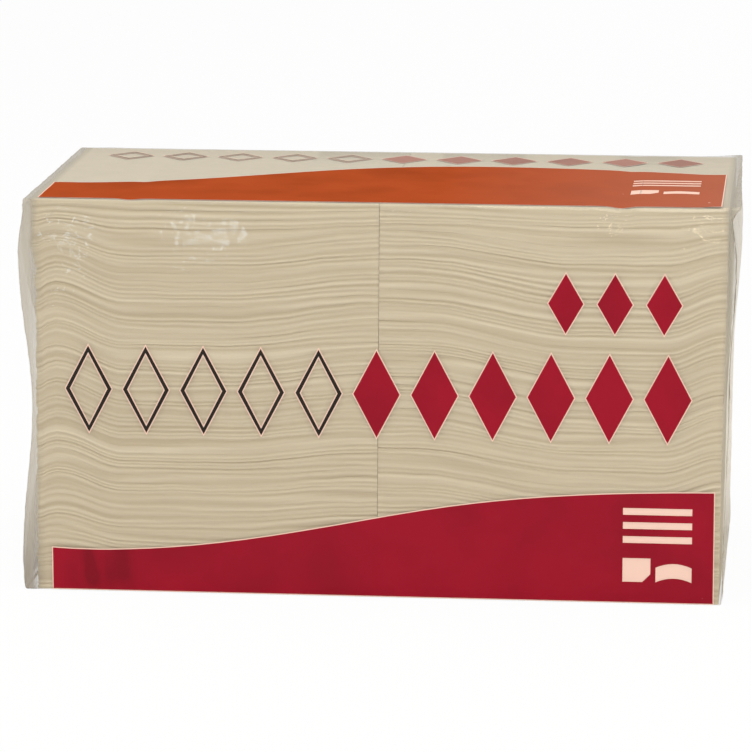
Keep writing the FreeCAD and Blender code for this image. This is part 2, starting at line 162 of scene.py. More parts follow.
# %% Model one slab of five napkins
def model_slab():
    low = (0.0, -NAPKIN_DEPTH / 2, 0.0)
    high = (NAPKIN_WIDTH, NAPKIN_DEPTH / 2, SLAB_RISE - SLAB_GAP)
    slab = add_block("slab_master", low, high)
    edit(slab)
    layers = NAPKINS_PER_SLAB * 2
    folds = even_places(low[2], high[2], layers)
    cut_across(2, folds)
    cut_across(0, even_places(low[0] + ROUNDED_END, high[0] - ROUNDED_END, 36))
    for inward in (1.2 * MM, 2.6 * MM, ROUNDED_END):
        cut_across(0, (low[0] + inward, high[0] - inward))
    cut_across(1, even_places(low[1], high[1], 3))
    noses = folds[0::2]
    reach = SLAB_RISE / layers / 4

    def at_groove(place):
        on_nose = any(abs(place.z - nose) < reach for nose in noses)
        inside = low[0] + MM < place.x < high[0] - MM and abs(place.y) < NAPKIN_DEPTH / 2 - MM
        return not on_nose and not inside

    select_vertices(slab, at_groove)
    shrink = (1 - 2 * FOLD_GROOVE / NAPKIN_WIDTH, 1 - 2 * FOLD_GROOVE / NAPKIN_DEPTH, 1)
    bpy.ops.transform.resize(value=shrink, center_override=(NAPKIN_WIDTH / 2, 0, 0))
    leave_edit()
    return slab


slab_master = model_slab()
print("slab faces:", len(slab_master.data.polygons))


# %% [markdown]
# The layers of a real stack are not flat. They stand high at the outer edge,
# where the folds pile up, and sag in the middle. The sag is the same from one
# layer to the next and dies out at the bottom and at the top. The CAD slabs
# follow the same waves, and these are their heights and places.

# %% Shape of the waves
LEFT_KNOTS = [(0.0, 1.6), (0.055, 5.4), (0.26, -4.4), (0.54, -4.4), (1.0, 2.0)]
RIGHT_KNOTS = [(0.0, 4.6), (0.10, 4.6), (0.58, -5.4), (0.82, -5.4), (1.0, 2.6)]
SAG_PEAK = 0.73
SAG_GROWTH = 3.3
SAG_FADE = 2.3


def wave_rise(knots, share):
    """Rise of a layer at a share of its width, with cosine slopes between knots."""
    for (start, low), (end, high) in zip(knots, knots[1:]):
        if share <= end:
            along = (share - start) / (end - start)
            turned = (1 - math.cos(math.pi * along)) / 2
            return (low + (high - low) * turned) * MM
    return knots[-1][1] * MM


def sag_share(level):
    """How much of the full sag a layer has at a share of the stack's height."""
    level = min(max(level, 0.0), 1.0)
    if level < SAG_PEAK:
        return 1 - ((SAG_PEAK - level) / SAG_PEAK) ** SAG_GROWTH
    return 1 - ((level - SAG_PEAK) / (1 - SAG_PEAK)) ** SAG_FADE


# %% [markdown]
# The front edge of the top has two small dents, where the pack was held. The
# paper and the film above it both follow this rule.

# %% Dents in the top edge
EDGE_DENTS = [(-107 * MM, 0.5 * MM), (104 * MM, 1.0 * MM)]
DENT_HALF = 4 * MM
DENT_DEEP = 12 * MM


def edge_dent(x, y, below_top):
    """How far the dents lower a point at a place and a depth below the top."""
    if below_top > DENT_DEEP:
        return 0.0
    sunk = sum(deep * math.exp(-(((x - middle) / DENT_HALF) ** 2)) for middle, deep in EDGE_DENTS)
    return sunk * (0.5 - y / NAPKIN_DEPTH) * (1 - below_top / DENT_DEEP)


# %% [markdown]
# A lattice is a cage that bends all that stands in it. One cage round each
# stack bends all its slabs together, so that no slab can cut into the next.
# Its points take the waves above, and a little noise for the small dents that
# pressing leaves in soft paper. The right stack is drawn in below its middle.

# %% Bend a stack with a lattice
CAGE_ACROSS = 46
CAGE_UP = 50
DENT = 0.5 * MM
DRAWN_IN = 0.9 * MM


def make_cage(name, left_edge, knots, seed, drawn_in):
    deselect_all()
    bpy.ops.object.add(type="LATTICE", location=(left_edge + NAPKIN_WIDTH / 2, 0, STACK_FOOT + STACK_HEIGHT / 2))
    cage = bpy.context.active_object
    cage.name = name
    cage.scale = (NAPKIN_WIDTH * 1.01, NAPKIN_DEPTH * 1.01, STACK_HEIGHT)
    cage.data.points_u = CAGE_ACROSS
    cage.data.points_v = 2
    cage.data.points_w = CAGE_UP
    cage.data.interpolation_type_u = "KEY_CATMULL_ROM"
    cage.data.interpolation_type_w = "KEY_LINEAR"
    for point in cage.data.points:
        share = min(max(point.co.x * 1.01 + 0.5, 0.0), 1.0)
        level = point.co.z + 0.5
        swell = sag_share(level)
        edge_hold = min(level, 1 - level, 0.05) / 0.05
        dent = noise.noise(Vector((share * 13 + seed, point.co.y, level * 20))) * DENT * edge_hold
        place = left_edge + share * NAPKIN_WIDTH
        dent -= edge_dent(place, point.co.y * cage.scale.y, (1 - level) * STACK_HEIGHT)
        rise = wave_rise(knots, share) * swell + dent
        shift = LEAN * level - drawn_in * share * min(max((0.75 - level) / 0.35, 0.0), 1.0)
        point.co_deform = (
            point.co.x + shift / cage.scale.x,
            point.co.y,
            point.co.z + rise / cage.scale.z,
        )
    return cage


left_edge = -(NAPKIN_WIDTH + STACK_GAP / 2)
right_edge = STACK_GAP / 2
left_cage = make_cage("left_cage", left_edge, LEFT_KNOTS, 3.0, 0.0)
right_cage = make_cage("right_cage", right_edge, RIGHT_KNOTS, 11.0, DRAWN_IN)
print("cages:", left_cage.name, right_cage.name)


# %% [markdown]
# Napkins are never stacked quite true. Some lie a little further back than
# others, and because they were folded and pressed together, the unevenness
# runs on from one napkin to the next and makes soft ridges. Each edge that
# lies deep gets less light, and the depth is kept as an attribute that paints
# that shade into the paper's colour; the flat faces get a value that paints
# them lighter. At the joint both stacks round off into a shallow valley.

# %% Stack the slabs of one bundle
RIDGE_DEPTH = 0.46 * MM
RIDGE_NAPKINS = 3.7
LOOSE_NAPKIN = 0.15 * MM
JOINT_VALLEY = 0.2 * MM
SIDE_SHUFFLE = 0.4 * MM
END_DRIFT = 0.9 * MM
TOP_REACH = 2.2 * MM
random.seed(7)


def setback(x, layer, seed):
    """How far the folded edge of a napkin lies back at a place along it."""
    drift = noise.noise(Vector((x * 7, seed, layer * 0.11)))
    ridge = math.sin(math.tau * (layer / RIDGE_NAPKINS + 1.6 * drift))
    strength = 0.55 + 0.6 * noise.noise(Vector((x * 9, seed + 20, layer * 0.16)))
    loose = noise.noise(Vector((x * 26, seed + 40, layer * 0.9)))
    return (0.5 + 0.5 * ridge * strength) * RIDGE_DEPTH + abs(loose) * LOOSE_NAPKIN


def left_end_reach(layer):
    """How far the left ends stand out, most of all in the top napkins."""
    level = layer / (SLABS * NAPKINS_PER_SLAB)
    top = min(max((level - 0.82) / 0.06, 0.0), 1.0)
    return top * TOP_REACH + noise.noise(Vector((3.0, 5.0, layer * 0.12))) * END_DRIFT


def copy_slab(name, left, foot):
    slab = slab_master.copy()
    slab.data = slab_master.data.copy()
    slab.name = name
    bpy.context.collection.objects.link(slab)
    mesh = slab.data
    layer_of = mesh.attributes.new("layer", "FLOAT", "POINT")
    painted_light_and_shade_of = mesh.attributes.new("painted_light_and_shade", "FLOAT", "POINT")
    on_left = left < -MM
    end_steps = [random.random() * SIDE_SHUFFLE for _ in range(NAPKINS_PER_SLAB + 1)]
    for vertex in mesh.vertices:
        x, y, z = vertex.co
        layer = (foot + z) / SLAB_RISE * NAPKINS_PER_SLAB
        to_joint = NAPKIN_WIDTH - x if on_left else x
        seed = (1.0 if on_left else 9.0) + (20.0 if y > 0 else 0.0)
        back = setback(x, layer, seed)
        in_stack = MM < foot + z - STACK_FOOT < STACK_HEIGHT - MM
        at_edge = abs(y) > NAPKIN_DEPTH / 2 - MM and in_stack
        layer_of.data[vertex.index].value = layer
        # Painted shade: an edge that lies deep gets a darker value, and the flat faces get -0.4, which paints
        # them lighter.
        flat = -0.4 if abs(y) < NAPKIN_DEPTH / 2 - MM else 0.3
        painted_light_and_shade_of.data[vertex.index].value = back / RIDGE_DEPTH if at_edge else flat
        back += JOINT_VALLEY * math.exp(-((to_joint / (2 * MM)) ** 2))
        end_step = 0.0
        if x < MM or x > NAPKIN_WIDTH - MM:
            end_step = end_steps[int(z / SLAB_RISE * NAPKINS_PER_SLAB)] * (0.1 if to_joint < MM else 1.0)
        inward = end_step if x < MM else -end_step
        if on_left and x < ROUNDED_END:
            inward -= left_end_reach(layer) * (1 - x / ROUNDED_END)
        vertex.co = (x + left + inward, y * (1 - 2 * back / NAPKIN_DEPTH), z + foot)
    return slab


def stack_bundle(node, index, left, cage, paper):
    slabs = []
    for part in range(SLABS_PER_BUNDLE):
        foot = STACK_FOOT + (index * SLABS_PER_BUNDLE + part) * SLAB_RISE
        slabs.append(copy_slab(f"{node}_slab_{part}", left, foot))
    deselect_all()
    for slab in slabs:
        slab.select_set(True)
    bpy.context.view_layer.objects.active = slabs[0]
    bpy.ops.object.join()
    bundle = bpy.context.active_object
    bundle.name = node.replace("napkins", "folded_napkins")
    apply_modifier(bundle, "bend", "LATTICE", object=cage)
    shade_smooth(bundle, 62)
    bundle.data.materials.clear()
    bundle.data.materials.append(paper)
    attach(bundle, "root")
    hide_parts(node)
    return bundle


# %% [markdown]
# Natural napkin paper is soft, matt and light brown, with darker and lighter
# fibres. Its colour carries painted shade where an edge lies deep, is painted
# lighter on the flat faces, and drifts a little from layer to layer, and a fine
# bump gives the crepe of the tissue. The attribute named layer counts napkins
# from the bottom, so the streaks follow the waves.

# %% Material helpers
def new_material(name):
    material = bpy.data.materials.new(name)
    material.use_nodes = True
    nodes = material.node_tree.nodes
    return material, nodes, material.node_tree.links, nodes["Principled BSDF"]


def add_node(nodes, kind, **settings):
    node = nodes.new(kind)
    for setting, value in settings.items():
        setattr(node, setting, value)
    return node


def set_inputs(node, **values):
    for name, value in values.items():
        node.inputs[name.replace("_", " ")].default_value = value


def ramp_between(nodes, low, low_colour, high, high_colour):
    ramp = nodes.new("ShaderNodeValToRGB")
    ramp.color_ramp.elements[0].position = low
    ramp.color_ramp.elements[0].color = (*low_colour, 1)
    ramp.color_ramp.elements[1].position = high
    ramp.color_ramp.elements[1].color = (*high_colour, 1)
    return ramp


# %% Napkin paper
PAPER_LIGHT = (0.70, 0.62, 0.457)
PAPER_DARK = (0.489, 0.405, 0.273)


def make_paper():
    material, nodes, links, shader = new_material("napkin_paper")
    place = add_node(nodes, "ShaderNodeTexCoord")
    layer = add_node(nodes, "ShaderNodeAttribute", attribute_name="layer")
    painted_light_and_shade = add_node(nodes, "ShaderNodeAttribute", attribute_name="painted_light_and_shade")
    across = add_node(nodes, "ShaderNodeVectorMath", operation="SCALE")
    across.inputs["Scale"].default_value = 6.0
    links.new(place.outputs["Object"], across.inputs[0])
    split = add_node(nodes, "ShaderNodeSeparateXYZ")
    links.new(across.outputs[0], split.inputs[0])
    streak_place = add_node(nodes, "ShaderNodeCombineXYZ")
    links.new(split.outputs["X"], streak_place.inputs["X"])
    links.new(split.outputs["Y"], streak_place.inputs["Y"])
    links.new(layer.outputs["Fac"], streak_place.inputs["Z"])
    streaks = add_node(nodes, "ShaderNodeTexNoise")
    set_inputs(streaks, Scale=0.35, Detail=1.0, Roughness=0.5)
    links.new(streak_place.outputs[0], streaks.inputs["Vector"])
    # Painted shade from each edge's depth, with the layer streaks, picks the paper's tint.
    depth = add_node(nodes, "ShaderNodeMath", operation="MULTIPLY_ADD")
    depth.inputs[1].default_value = 0.8
    links.new(painted_light_and_shade.outputs["Fac"], depth.inputs[0])
    links.new(streaks.outputs["Fac"], depth.inputs[2])
    tint = ramp_between(nodes, 0.22, PAPER_LIGHT, 1.0, PAPER_DARK)
    shade = add_node(nodes, "ShaderNodeMath", operation="MULTIPLY")
    shade.inputs[1].default_value = 0.72
    links.new(depth.outputs[0], shade.inputs[0])
    links.new(shade.outputs[0], tint.inputs["Fac"])
    links.new(tint.outputs["Color"], shader.inputs["Base Color"])
    crepe = add_node(nodes, "ShaderNodeTexNoise")
    set_inputs(crepe, Scale=700.0, Detail=2.0, Roughness=0.6)
    links.new(place.outputs["Object"], crepe.inputs["Vector"])
    bump = add_node(nodes, "ShaderNodeBump")
    set_inputs(bump, Strength=0.2, Distance=0.0004)
    links.new(crepe.outputs["Fac"], bump.inputs["Height"])
    links.new(bump.outputs["Normal"], shader.inputs["Normal"])
    set_inputs(shader, Roughness=0.92)
    shader.inputs["Specular IOR Level"].default_value = 0.15
    shader.inputs["Sheen Weight"].default_value = 0.15
    return material


paper = make_paper()

# %% Build both stacks
for names, edge, cage in ((left_names, left_edge, left_cage), (right_names, right_edge, right_cage)):
    for index, node in enumerate(names):
        stack_bundle(node, index, edge, cage, paper)
for helper in (slab_master, left_cage, right_cage):
    bpy.data.objects.remove(helper)
print("bundles dressed:", len(bundle_names))


# %% [markdown]
# The wrap is one tube of thin film, closed by folding its ends like a parcel.
# It starts as a block of the wrap's size. Cuts give it a fine grid, and the
# ends then follow the same heights as the CAD wrap: full at the foot, drawn
# in at the waist where the stack is pressed, and standing out at the shoulder.
# Along the top of the right end the film is empty and stands out as a lip.

# %% Sizes of the wrap
film_low, film_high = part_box("film_wrap")
PACK_HEIGHT = film_high[2] - film_low[2]
FILM_FRONT = -74.6 * MM
FILM_LEVELS = [0.0, 0.08, 0.48, 0.86, 1.0]
LEFT_REACH = [154.4, 154.8, 149.9, 155.1, 152.3]
RIGHT_REACH = [148.9, 148.8, 149.7, 152.6, 150.5]
CREASE_FROM, CREASE_TO, CREASE_TOP = -139 * MM, -104 * MM, 26 * MM
LIP_HIGH = 4 * MM
LIP_FRONT, LIP_BACK = 4.8 * MM, 2.1 * MM
CURL_FROM, CURL = 135 * MM, 1.1 * MM


def end_reach(reaches, level):
    """How far an end of the wrap stands out at a share of its height."""
    for (start, low), (end, high) in zip(zip(FILM_LEVELS, reaches), list(zip(FILM_LEVELS, reaches))[1:]):
        if level <= end:
            along = (level - start) / (end - start)
            turned = (1 - math.cos(math.pi * along)) / 2
            return (low + (high - low) * turned) * MM
    return reaches[-1] * MM


def right_lip(place):
    """Along the top of the right end the film stands out as a lip and curls up."""
    share = min(max((place.z - PACK_HEIGHT) / LIP_HIGH + 1, 0.0), 1.0)
    back = 0.5 + place.y / (2 * abs(FILM_FRONT))
    curled = min(max((place.x - CURL_FROM) / (18 * MM), 0.0), 1.0)
    out = (LIP_FRONT + (LIP_BACK - LIP_FRONT) * back) * share if place.x > 149 * MM else 0.0
    return Vector((out, 0, CURL * curled ** 1.5 * share))


# %% Model the wrap
def model_wrap():
    half = 1.0
    wrap = add_block("wrap", (-half, FILM_FRONT, 0.0), (half, -FILM_FRONT, PACK_HEIGHT))
    edit(wrap)
    cut_across(0, [share * half for share in even_places(-1, 1, 90)])
    cut_across(1, even_places(FILM_FRONT, -FILM_FRONT, 60))
    cut_across(2, even_places(0, PACK_HEIGHT, 66))
    creases = even_places(CREASE_FROM, CREASE_TO, 18)
    cut_across(0, [place / (155 * MM) for place in creases])
    leave_edit()
    for vertex in wrap.data.vertices:
        level = vertex.co.z / PACK_HEIGHT
        reaches = LEFT_REACH if vertex.co.x < 0 else RIGHT_REACH
        vertex.co.x *= end_reach(reaches, level)
        vertex.co += right_lip(vertex.co)
    apply_modifier(wrap, "soft_edges", "BEVEL", width=0.0009, segments=2, limit_method="ANGLE",
                   angle_limit=math.radians(40))
    return wrap


wrap = model_wrap()
print("wrap faces:", len(wrap.data.polygons))


# %% [markdown]
# Tight film is never flat either. Long shallow wrinkles run from the folded
# ends into the faces, sharp ones fan out over the ends from every corner, and
# upright creases stand at the foot of the left end. A displacement that only
# goes outwards keeps the film off the paper.

# %% Wrinkle the film
LEFT_END_HAZE, RIGHT_END_HAZE = 0.3, 0.5
WRINKLE = 0.3 * MM
FAN = 0.45 * MM
CREASE = 1.0 * MM


def ridged(value):
    """Narrow ridges with flat ground between them."""
    return max(0.0, 1 - abs(value) * 5)


def fan_lift(place):
    """Ridges on an end of the wrap that run out of its corners."""
    up = place.z if place.z < PACK_HEIGHT / 2 else PACK_HEIGHT - place.z
    out = abs(FILM_FRONT) - abs(place.y)
    reach = math.hypot(up, out)
    turn = math.atan2(up, out)
    which = (place.z > PACK_HEIGHT / 2) * 7 + (place.y > 0) * 13 + (place.x > 0) * 29
    line = noise.noise(Vector((turn * 5.5, which, reach * 6)))
    return ridged(line) * math.exp(-reach / (60 * MM)) * min(1.0, min(up, out) / (5 * MM))


def crease_parts(place):
    """Wave of the upright creases at the foot of the left end, and their strength."""
    if not CREASE_FROM < place.x < CREASE_TO or place.z > CREASE_TOP or place.y > 0:
        return 0.0, 0.0
    along = (place.x - CREASE_FROM) / (CREASE_TO - CREASE_FROM)
    wave = noise.noise(Vector((place.x * 190 + place.z * 25, 3.0, place.z * 8)))
    return wave, math.sin(math.pi * along) * (1 - (place.z / CREASE_TOP) ** 2) * min(1.0, place.z / (7 * MM))


def crease_lift(place):
    wave, strength = crease_parts(place)
    return (0.5 + 0.7 * wave) * strength


# The creases again, as painted shade for the ink laid over them.
def crease_shade(place):
    wave, strength = crease_parts(place)
    return (0.5 - 1.1 * wave) * strength


def wrinkle(piece):
    for vertex, normal in [(vertex, vertex.normal.copy()) for vertex in piece.data.vertices]:
        place = vertex.co
        near_end = max(0.0, (abs(place.x) / (150 * MM) - 0.72) / 0.28)
        broad = noise.noise(Vector((place.x * 22, place.y * 22, place.z * 34)))
        fine = noise.noise(Vector((place.x * 60 + place.z * 50, place.y * 70, place.z * 90 - place.x * 30)))
        calm = 0.3 if normal.z > 0.9 else 1.0
        lift = (0.5 + 0.5 * broad) * WRINKLE * calm + ridged(fine) * near_end * WRINKLE * 0.6
        if abs(normal.x) > 0.9:
            lift += fan_lift(place) * FAN
        elif normal.y < -0.9:
            lift += crease_lift(place) * CREASE
        if place.z > 1.0 * MM:
            vertex.co = place + normal * lift
            vertex.co.z -= edge_dent(place.x, place.y, max(0.0, PACK_HEIGHT - place.z))


def mark_haze(piece):
    """Film is hazier where it is gathered beyond the ends of the stacks."""
    haze = piece.data.attributes.new("haze", "FLOAT", "POINT")
    for item, vertex in zip(haze.data, piece.data.vertices):
        overlap = 2.2 * MM if vertex.co.x < 0 else 0.5 * MM
        beyond = (abs(vertex.co.x) - NAPKIN_WIDTH + overlap) / (4 * MM)
        # The extra haze at the foot lays on more of the veil, which is painted darker there.
        foot = 0.25 * max(0.0, 1 - vertex.co.z / (18 * MM))
        end_haze = LEFT_END_HAZE if vertex.co.x < 0 else RIGHT_END_HAZE
        gathered = end_haze if abs(vertex.normal.x) > 0.8 else 1.0 + foot
        item.value = min(max(beyond, 0.0), 1.0) * gathered


wrinkle(wrap)
mark_haze(wrap)
shade_smooth(wrap, 50)


# %% [markdown]
# The wrap is closed like a parcel: at each end one flap is folded down from
# the top and one up from the foot, each narrowing to a blunt tip, and the
# tube has a lap seam up its back. Every flap is a grid that is laid on the
# wrap from outside, with a raised hem where the film turns back on itself.

# %% Fold the ends and close the back
FLAP_LIFT = 0.16 * MM
HEM = 0.2 * MM
FLAP_ROOT = 73.5 * MM
FLAP_TIP = 26 * MM
SEAM_HALF = 6 * MM


def add_film_sheet(name, columns, rows, spot):
    """A grid whose corners run from (0, 0) to (1, 1), moved to its place by a rule."""
    deselect_all()
    bpy.ops.mesh.primitive_grid_add(x_subdivisions=columns, y_subdivisions=rows, size=1)
    sheet = bpy.context.active_object
    sheet.name = name
    for vertex in sheet.data.vertices:
        vertex.co = spot(vertex.co.x + 0.5, vertex.co.y + 0.5)
    return sheet


def lay_on_wrap(sheet, axis, lift):
    apply_modifier(sheet, "lay", "SHRINKWRAP", target=wrap, wrap_method="PROJECT",
                   use_project_x=axis == 0, use_project_y=axis == 1, use_project_z=axis == 2,
                   use_negative_direction=True, use_positive_direction=True, offset=lift)


def raise_hem(sheet, axis, outward, columns, rows):
    """Lift the border of a sheet, all but the root, where it comes off the wrap's edge."""
    for index, vertex in enumerate(sheet.data.vertices):
        column = index % (columns + 1)
        row = index // (columns + 1)
        at_side = min(column, columns - column) == 1
        at_tip = row == rows - 1
        if at_side or at_tip:
            vertex.co[axis] += outward * HEM


def fold_flap(name, side, root_level, tip_level, order):
    columns, rows = 36, 32

    def spot(u, v):
        level = root_level + (tip_level - root_level) * v
        half = FLAP_ROOT + (FLAP_TIP - FLAP_ROOT) * v
        return Vector((side * 170 * MM, (u - 0.5) * 2 * half, level * PACK_HEIGHT))

    flap = add_film_sheet(name, columns, rows, spot)
    lay_on_wrap(flap, 0, FLAP_LIFT * order)
    raise_hem(flap, 0, side, columns, rows)
    return flap


def lap_seam():
    columns, rows = 6, 60

    def spot(u, v):
        return Vector(((u - 0.5) * 2 * SEAM_HALF, 90 * MM, (0.01 + 0.98 * v) * PACK_HEIGHT))

    seam = add_film_sheet("lap_seam", columns, rows, spot)
    lay_on_wrap(seam, 1, FLAP_LIFT)
    raise_hem(seam, 1, 1, columns, rows)
    return seam


def pucker(name, x, z, length, turn):
    """A little tent of film on the front, where the film bunches up."""

    def spot(u, v):
        along, over = (u - 0.5) * length * MM, (v - 0.5) * 0.35 * length * MM
        rise = PUCKER * length * MM * math.sin(math.pi * u) * (abs(v - 0.5) < 0.1)
        place = Vector((x * MM + along * math.cos(turn) - over * math.sin(turn), -90 * MM,
                        z * MM + along * math.sin(turn) + over * math.cos(turn)))
        rises.append(rise)
        return place

    rises = []
    tent = add_film_sheet(name, 8, 2, spot)
    lay_on_wrap(tent, 1, 0.15 * MM)
    for vertex, rise in zip(tent.data.vertices, rises):
        vertex.co.y -= rise
    return tent


PUCKER = 0.09
PUCKERS = [
    (98.7, 168.4, 6.0, 0.3), (144.0, 168.3, 6.5, -0.2), (133.5, 163.0, 5.0, 0.5), (6.0, 169.3, 6.0, 0.1),
    (0.4, 166.2, 4.0, -0.9), (13.0, 168.6, 4.5, 0.2), (-140.3, 165.7, 4.0, 1.0), (-60.0, 167.9, 4.0, 0.2),
]
folds = [pucker(f"pucker_{index}", *spec) for index, spec in enumerate(PUCKERS)]
for side, side_name in ((-1, "left"), (1, "right")):
    folds.append(fold_flap(f"{side_name}_lower_flap", side, 0.012, 0.50, 1))
    folds.append(fold_flap(f"{side_name}_upper_flap", side, 0.985, 0.46, 2))
folds.append(lap_seam())
for sheet in folds:
    edit(sheet)
    bpy.ops.mesh.select_all(action="SELECT")
    bpy.ops.mesh.normals_make_consistent(inside=False)
    leave_edit()
    mark_haze(sheet)
    shade_smooth(sheet, 60)
print("folded sheets:", [sheet.name for sheet in folds])


# %% [markdown]
# Clear film lets almost everything through. It has a thin pale veil, denser
# where it is gathered and painted darker towards the foot as shade, and over
# that a mirror gloss that grows towards the rim, as it does on any smooth
# sheet. A thin sheet mirrors the same from both sides, so the index is turned
# round where it is seen from inside.

# %% Film material
VEIL = 0.04
HAZE = 0.7
VEIL_SHADED_FOOT = (0.33, 0.29, 0.235)
VEIL_UPPER = (0.51, 0.47, 0.395)
FILM_INDEX = 1.45


def make_film():
    material, nodes, links, shader = new_material("clear_film")
    output = nodes["Material Output"]
    shader.inputs["Specular IOR Level"].default_value = 0.0
    set_inputs(shader, Roughness=0.6)
    place = add_node(nodes, "ShaderNodeTexCoord")
    split = add_node(nodes, "ShaderNodeSeparateXYZ")
    links.new(place.outputs["Object"], split.inputs[0])
    # Painted shade: the veil's colour darkens towards the foot.
    veil_painted_shade = ramp_between(nodes, 0.008, VEIL_SHADED_FOOT, 0.045, VEIL_UPPER)
    links.new(split.outputs["Z"], veil_painted_shade.inputs["Fac"])
    links.new(veil_painted_shade.outputs["Color"], shader.inputs["Base Color"])
    haze = add_node(nodes, "ShaderNodeAttribute", attribute_name="haze")
    veil = add_node(nodes, "ShaderNodeMath", operation="MULTIPLY_ADD")
    veil.inputs[1].default_value = HAZE
    veil.inputs[2].default_value = VEIL
    links.new(haze.outputs["Fac"], veil.inputs[0])
    clear = add_node(nodes, "ShaderNodeBsdfTransparent")
    sheet = add_node(nodes, "ShaderNodeMixShader")
    links.new(veil.outputs[0], sheet.inputs[0])
    links.new(clear.outputs[0], sheet.inputs[1])
    links.new(shader.outputs[0], sheet.inputs[2])
    ripple = add_node(nodes, "ShaderNodeTexNoise")
    set_inputs(ripple, Scale=110.0, Detail=2.0, Roughness=0.5)
    links.new(place.outputs["Object"], ripple.inputs["Vector"])
    bump = add_node(nodes, "ShaderNodeBump")
    set_inputs(bump, Strength=0.16, Distance=0.001)
    links.new(ripple.outputs["Fac"], bump.inputs["Height"])
    gloss = add_node(nodes, "ShaderNodeBsdfGlossy")
    set_inputs(gloss, Color=(0.94, 0.89, 0.80, 1), Roughness=0.06)
    links.new(bump.outputs["Normal"], gloss.inputs["Normal"])
    rim = add_node(nodes, "ShaderNodeFresnel")
    side = add_node(nodes, "ShaderNodeNewGeometry")
    index = add_node(nodes, "ShaderNodeMath", operation="MULTIPLY_ADD")
    index.inputs[1].default_value = 1 / FILM_INDEX - FILM_INDEX
    index.inputs[2].default_value = FILM_INDEX
    links.new(side.outputs["Backfacing"], index.inputs[0])
    links.new(index.outputs[0], rim.inputs["IOR"])
    links.new(bump.outputs["Normal"], rim.inputs["Normal"])
    coat = add_node(nodes, "ShaderNodeMixShader")
    links.new(rim.outputs[0], coat.inputs[0])
    links.new(sheet.outputs[0], coat.inputs[1])
    links.new(gloss.outputs[0], coat.inputs[2])
    links.new(coat.outputs[0], output.inputs["Surface"])
    return material


film = make_film()

# %% [markdown]
# The print lies on the film. Each printed field starts as a copy of the CAD
# plate's outer face. Under the ink lies a pale ground that is printed a hair
# larger, so a thin light line shows round every field. A plain pale patch
# under the ground closes the openings of the bands, which read as pale shapes.
# All of them are cut by the same planes and laid on the film by a shrinkwrap
# that moves them straight back, so that the print rides over every wrinkle.

# %% Lay a printed field on the film
INK_LIFT = 0.16 * MM
GROUND_LIFT = 0.10 * MM
PATCH_LIFT = 0.04 * MM
TOP_LIFT_SHARE = 0.4
GROUND_MARGIN = 0.45 * MM
PRINT_GRID = 2.0 * MM
FRONT, TOP = 1, 2
OPENINGS_X = (106 * MM, 138 * MM)
OPENINGS = {"print_band_front": (8 * MM, 44 * MM), "print_band_top": (-38 * MM, 4 * MM)}


def outer_face(node, facing):
    """A copy of the CAD plate with only its outer face."""
    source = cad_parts[node]
    source = bpy.data.objects[source] if isinstance(source, str) else source
    field = source.copy()
    field.data = source.data.copy()
    bpy.context.collection.objects.link(field)
    edit(field)
    bpy.ops.mesh.select_all(action="SELECT")
    bpy.ops.mesh.remove_doubles(threshold=1e-6)
    low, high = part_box(node)
    outer = low[1] if facing == FRONT else high[2]
    select_vertices(field, lambda place: abs(place[facing] - outer) > 1e-5)
    bpy.ops.mesh.delete(type="VERT")
    leave_edit()
    return field


def grow(piece, margin):
    """Move the outline of a flat face outwards in its own plane."""
    mesh = piece.data
    used = {}
    for face in mesh.polygons:
        for key in face.edge_keys:
            used[key] = used.get(key, 0) + 1
    outward = {}
    for face in mesh.polygons:
        ring = list(face.vertices)
        for start, end in zip(ring, ring[1:] + ring[:1]):
            if used[tuple(sorted((start, end)))] == 1:
                run = (mesh.vertices[end].co - mesh.vertices[start].co).normalized()
                for index in (start, end):
                    outward.setdefault(index, []).append(run.cross(face.normal))
    for index, sides in outward.items():
        total = sum(sides, Vector())
        mesh.vertices[index].co += total * margin / max(total.length_squared / len(sides), 0.35)


def lay_sheet(piece, facing, lift, ground):
    edit(piece)
    places = [vertex.co for vertex in piece.data.vertices]
    for axis in (0, 2 if facing == FRONT else 1):
        first = math.ceil(min(place[axis] for place in places) / PRINT_GRID)
        last = math.floor(max(place[axis] for place in places) / PRINT_GRID)
        cut_across(axis, [step * PRINT_GRID for step in range(first, last + 1)])
    leave_edit()
    for vertex in piece.data.vertices:
        vertex.co[facing] += (-5 if facing == FRONT else 5) * MM
    lay_on_wrap(piece, facing, lift if facing == FRONT else lift * TOP_LIFT_SHARE)
    ground_of = piece.data.attributes.new("ground", "FLOAT", "POINT")
    shade_of = piece.data.attributes.new("shade", "FLOAT", "POINT")
    for index, vertex in enumerate(piece.data.vertices):
        ground_of.data[index].value = ground
        # The shade attribute is painted shade along the creases at the foot of the left end.
        shade_of.data[index].value = crease_shade(vertex.co)


def back_openings(node, facing):
    """A plain pale sheet that lies behind the openings of a band."""

    def spot(u, v):
        x, along = (low + (high - low) * share for (low, high), share in
                    ((OPENINGS_X, u), (OPENINGS[node], v)))
        return Vector((x, FILM_FRONT, along) if facing == FRONT else (x, along, PACK_HEIGHT))

    patch = add_film_sheet(f"{node}_patch", 1, 1, spot)
    lay_sheet(patch, facing, PATCH_LIFT, 1.0)
    return patch


def lay_print(node, slot, facing, material):
    field = outer_face(node, facing)
    ground = field.copy()
    ground.data = field.data.copy()
    bpy.context.collection.objects.link(ground)
    grow(ground, GROUND_MARGIN)
    lay_sheet(field, facing, INK_LIFT, 0.0)
    lay_sheet(ground, facing, GROUND_LIFT, 1.0)
    sheets = [field, ground]
    if node in OPENINGS:
        sheets.append(back_openings(node, facing))
    deselect_all()
    for sheet in sheets:
        sheet.select_set(True)
    bpy.context.view_layer.objects.active = field
    bpy.ops.object.join()
    field.name = node.replace("print", "ink")
    shade_smooth(field, 60)
    field.data.materials.clear()
    field.data.materials.append(material)
    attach(field, "root")
    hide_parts(node)
    return field


PALE_GROUND = (0.87, 0.61, 0.50)


